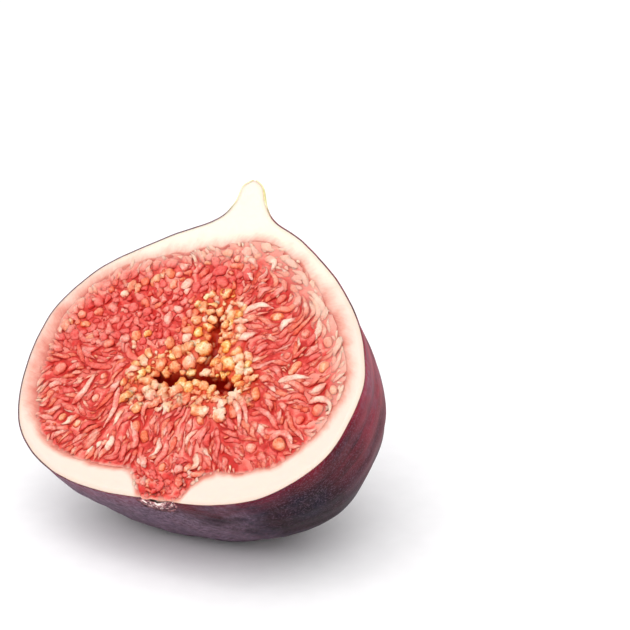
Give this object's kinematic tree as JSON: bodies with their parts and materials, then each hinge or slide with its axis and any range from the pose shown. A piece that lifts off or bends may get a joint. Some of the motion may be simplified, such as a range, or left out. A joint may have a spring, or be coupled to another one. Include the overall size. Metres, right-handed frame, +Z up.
{
  "type": "halved fresh fig",
  "caption": "Fresh dark fig cut lengthwise from stalk to eye, lying on its skin with the cut face up: thin purple peel, cream flesh and red pulp full of seeded florets round a small hollow.",
  "frame": {"origin": "middle of the small flat on which the skin rests, on the table's plane", "axes": "+Z up; the cut face looks along -Y and up at 47 degrees; X runs level across the cut face, and the stalk leans towards -X"},
  "size_m": [0.0603, 0.0451, 0.0513],
  "materials": {
    "skin": "satin plum-purple peel with a pale waxy bloom",
    "flesh": "moist cream cut flesh",
    "pulp": "wet red pulp",
    "eye_scales": "dry pinkish brown scales"
  },
  "bodies": {
    "root": {"skin": "skin", "flesh": "flesh", "pulp": "pulp", "eye_scales": "eye_scales"}
  },
  "joints": []
}
